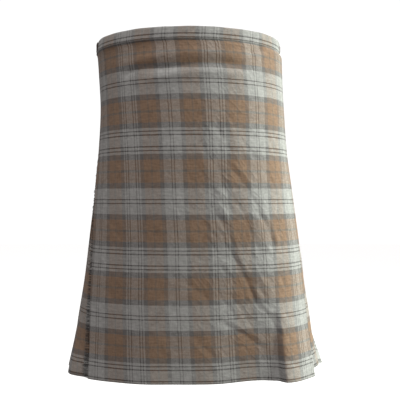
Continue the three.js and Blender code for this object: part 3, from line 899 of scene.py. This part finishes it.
def leather_material():
    """Black-brown bridle leather: fine grain, lighter and darker in soft patches of wear."""
    nodes = Nodes("bridle_leather")
    uv = nodes.add("ShaderNodeUVMap", uv_map="UVMap").outputs[0]
    grain = nodes.add("ShaderNodeTexVoronoi", [("Vector", uv), ("Scale", 900.0)]).outputs[0]
    wear = nodes.noise(uv, 70.0, 3.0, 0.6)
    colour = nodes.mix_color("MIX", wear, (0.030, 0.019, 0.013, 1.0), (0.075, 0.045, 0.028, 1.0))
    nodes.link(colour, "Base Color")
    height = nodes.math("ADD", grain, nodes.math("MULTIPLY", wear, 1.5))
    bump = nodes.add("ShaderNodeBump", [("Strength", 0.35), ("Distance", 0.0002), ("Height", height)])
    nodes.link(bump.outputs[0], "Normal")
    rough = nodes.mix_value(wear, 0.38, 0.58)
    nodes.link(rough, "Roughness")
    return nodes.material


def metal_material():
    """Plated steel with fine scratches."""
    nodes = Nodes("buckle_plate")
    place = nodes.add("ShaderNodeTexCoord").outputs["Object"]
    scratches = nodes.noise(place, 900.0, 3.0, 0.7)
    smears = nodes.noise(place, 120.0, 2.0, 0.5)
    colour = nodes.mix_color("MIX", smears, (0.56, 0.57, 0.58, 1.0), (0.72, 0.72, 0.71, 1.0))
    nodes.link(colour, "Base Color")
    nodes.link(nodes.mix_value(scratches, 0.16, 0.36), "Roughness")
    nodes.shader.inputs["Metallic"].default_value = 1.0
    bump = nodes.add("ShaderNodeBump", [("Strength", 0.08), ("Distance", 0.0001), ("Height", scratches)])
    nodes.link(bump.outputs[0], "Normal")
    return nodes.material


def thread_material():
    nodes = Nodes("sewing_thread")
    place = nodes.add("ShaderNodeTexCoord").outputs["Object"]
    twist = nodes.noise(place, 2500.0, 1.0)
    nodes.link(nodes.mix_color("MIX", twist, (0.17, 0.15, 0.13, 1.0), (0.30, 0.27, 0.23, 1.0)), "Base Color")
    bump = nodes.add("ShaderNodeBump", [("Strength", 0.4), ("Distance", 0.0001), ("Height", twist)])
    nodes.link(bump.outputs[0], "Normal")
    nodes.shader.inputs["Roughness"].default_value = 0.8
    return nodes.material


def stitch(start, end, radius):
    """One stitch between two places (along, out, below) on the band, sunk at both ends."""
    share = np.linspace(0, 1, 4)
    place = np.outer(1 - share, start) + np.outer(share, end)
    rise = np.array([-0.25, 0.12, 0.12, -0.25])
    return tube(on_band(place[:, 0], place[:, 1] + rise, place[:, 2]), radius, 4)


def stitch_row(start, end, pitch, radius):
    """Stitches in a row between two places."""
    start, end = np.array(start, float), np.array(end, float)
    run = np.linalg.norm(end - start)
    count = int(run / pitch)
    parts = []
    for k in range(count):
        a = start + (end - start) * (k + 0.14) / count
        b = start + (end - start) * (k + 0.80) / count
        parts.append(stitch(a, b, radius))
    return parts


def make_leather_stitches():
    """Two rows down the outer strap's sewn end and down each tab's."""
    parts = []
    face = STRAP_OUT + 0.55
    rows = ((OUTER_START - 3, OUTER_START - 26, 5.4), (OUTER_TIP - 29, OUTER_TIP - 6, 3.6),
            (INNER_TIP + 6, INNER_TIP + 29, 3.6))
    for start, end, from_middle in rows:
        for side in (-1, 1):
            below = STRAP_BELOW + side * from_middle
            parts += stitch_row((start, face, below), (end, face, below), 2.6, 0.22)
    return wires("leather_stitches", parts)


def make_band_stitches():
    """The waistband's sewing, just inside its lower edge."""
    ring = Ring(BAND_RINGS, STRAP_BELOW)
    start, end = -WAIST_OPEN + 2, ring.length - WAIST_OPEN - 45
    return wires("waistband_stitches", stitch_row((start, -0.18, 19.6), (end, -0.18, 19.6), 3.4, 0.17))


# ---- stage ----

def make_camera():
    data = bpy.data.cameras.new("camera")
    data.sensor_width = 36.0
    data.lens = 53.19
    camera = bpy.data.objects.new("camera", data)
    camera.location = (0.0223, -1.117, -0.2673)
    camera.rotation_euler = (math.pi / 2, 0, 0)
    bpy.context.scene.collection.objects.link(camera)
    bpy.context.scene.camera = camera


def area_light(name, place, target, size, power, colour):
    data = bpy.data.lights.new(name, "AREA")
    data.size = size
    data.energy = power
    data.color = colour
    light = bpy.data.objects.new(name, data)
    light.location = place
    direction = Vector(target) - Vector(place)
    light.rotation_euler = direction.to_track_quat("-Z", "Y").to_euler()
    bpy.context.scene.collection.objects.link(light)


def make_lights():
    middle = (0.0, 0.0, -0.28)
    area_light("key", (2.7, 0.02, 0.02), middle, 1.8, 122.0, (0.95, 1.0, 0.91))
    area_light("top", (0.15, -0.95, 1.95), middle, 1.3, 34.0, (1.0, 0.97, 0.95))
    world = bpy.data.worlds.new("studio")
    bpy.context.scene.world = world
    world.use_nodes = True
    tree = world.node_tree
    tree.nodes.clear()
    ambient = tree.nodes.new("ShaderNodeBackground")
    ambient.inputs[0].default_value = (1.0, 0.92, 0.905, 1.0)
    ambient.inputs[1].default_value = 0.24
    white = tree.nodes.new("ShaderNodeBackground")
    white.inputs[0].default_value = (1.0, 1.0, 1.0, 1.0)
    white.inputs[1].default_value = 1.05
    path = tree.nodes.new("ShaderNodeLightPath")
    mix = tree.nodes.new("ShaderNodeMixShader")
    out = tree.nodes.new("ShaderNodeOutputWorld")
    tree.links.new(path.outputs["Is Camera Ray"], mix.inputs[0])
    tree.links.new(ambient.outputs[0], mix.inputs[1])
    tree.links.new(white.outputs[0], mix.inputs[2])
    tree.links.new(mix.outputs[0], out.inputs[0])


def make_floor():
    half, height = 9.0, -1.02
    corners = np.array([(x * half, y * half, height) for x, y in ((-1, -1), (1, -1), (1, 1), (-1, 1))])
    floor = new_mesh("studio_floor", corners, np.array([[0, 1, 2, 3]]))
    nodes = Nodes("pale_floor")
    nodes.shader.inputs["Base Color"].default_value = (0.82, 0.82, 0.82, 1.0)
    nodes.shader.inputs["Roughness"].default_value = 0.95
    nodes.shader.inputs["Emission Color"].default_value = (1.0, 1.0, 1.0, 1.0)
    nodes.shader.inputs["Emission Strength"].default_value = 0.8
    floor.data.materials.append(nodes.material)
    floor.visible_diffuse = False
    floor.visible_glossy = False


make_camera()
make_lights()
make_floor()
bpy.context.scene.view_settings.view_transform = "Standard"

tartan = tartan_material("tartan_twill")
over_apron = make_over_apron(tartan)
under_apron = make_under_apron(tartan)
pleated_back = make_pleats(tartan)
waistband = make_waistband(tartan)
fringe = make_fringe(fringe_material())

leather, metal, thread = leather_material(), metal_material(), thread_material()
outer_strap = leather_strip("strap_over_apron_leather", [(OUTER_START, STRAP_OUT), (OUTER_TIP, STRAP_OUT)],
                            STRAP_THICKNESS, STRAP_HALF, pointed=True)
inner_out = -(BAND_UNDER_MIDDLE + BAND_MIDDLE + 1.3)
inner_strap = leather_strip("strap_under_apron_leather",
                            [(INNER_START, inner_out), (SLIT - 4, inner_out), (SLIT + 4, STRAP_OUT),
                             (INNER_TIP, STRAP_OUT)], STRAP_THICKNESS, STRAP_HALF, pointed=True)
right_centre, left_centre = OUTER_TIP + STRAP_PAST_BUCKLE, INNER_TIP - STRAP_PAST_BUCKLE
right_frame, right_pin = make_buckle("right", right_centre, -1.0)
left_frame, left_pin = make_buckle("left", left_centre, 1.0)
right_tab = make_tab("right", right_centre, OUTER_TIP, -1.0)
left_tab = make_tab("left", left_centre, INNER_TIP, 1.0)
leather_stitches, band_stitches = make_leather_stitches(), make_band_stitches()
for material, pieces in ((leather, (outer_strap, inner_strap, right_tab, left_tab)),
                         (metal, (right_frame, right_pin, left_frame, left_pin)),
                         (thread, (leather_stitches, band_stitches))):
    for piece in pieces:
        piece.data.materials.append(material)

# Each piece, the CAD node that it stands for, and the slot that its finish comes from.
PIECES = [
    (over_apron, "over_apron", "tartan"),
    (under_apron, "under_apron", "tartan"),
    (pleated_back, "pleats", "tartan"),
    (waistband, "waistband", "tartan"),
    (fringe, "fringe", "fringe_yarn"),
    (outer_strap, "strap_over_apron", "strap_leather"),
    (inner_strap, "strap_under_apron", "strap_leather"),
    (right_tab, "buckle_right_tab", "strap_leather"),
    (left_tab, "buckle_left_tab", "strap_leather"),
    (right_frame, "buckle_right_frame", "buckle_metal"),
    (right_pin, "buckle_right_tongue", "buckle_metal"),
    (left_frame, "buckle_left_frame", "buckle_metal"),
    (left_pin, "buckle_left_tongue", "buckle_metal"),
    (leather_stitches, None, None),
    (band_stitches, None, None),
]
for piece, node, slot in PIECES:
    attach(piece, "root")
    if node:
        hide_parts(node)
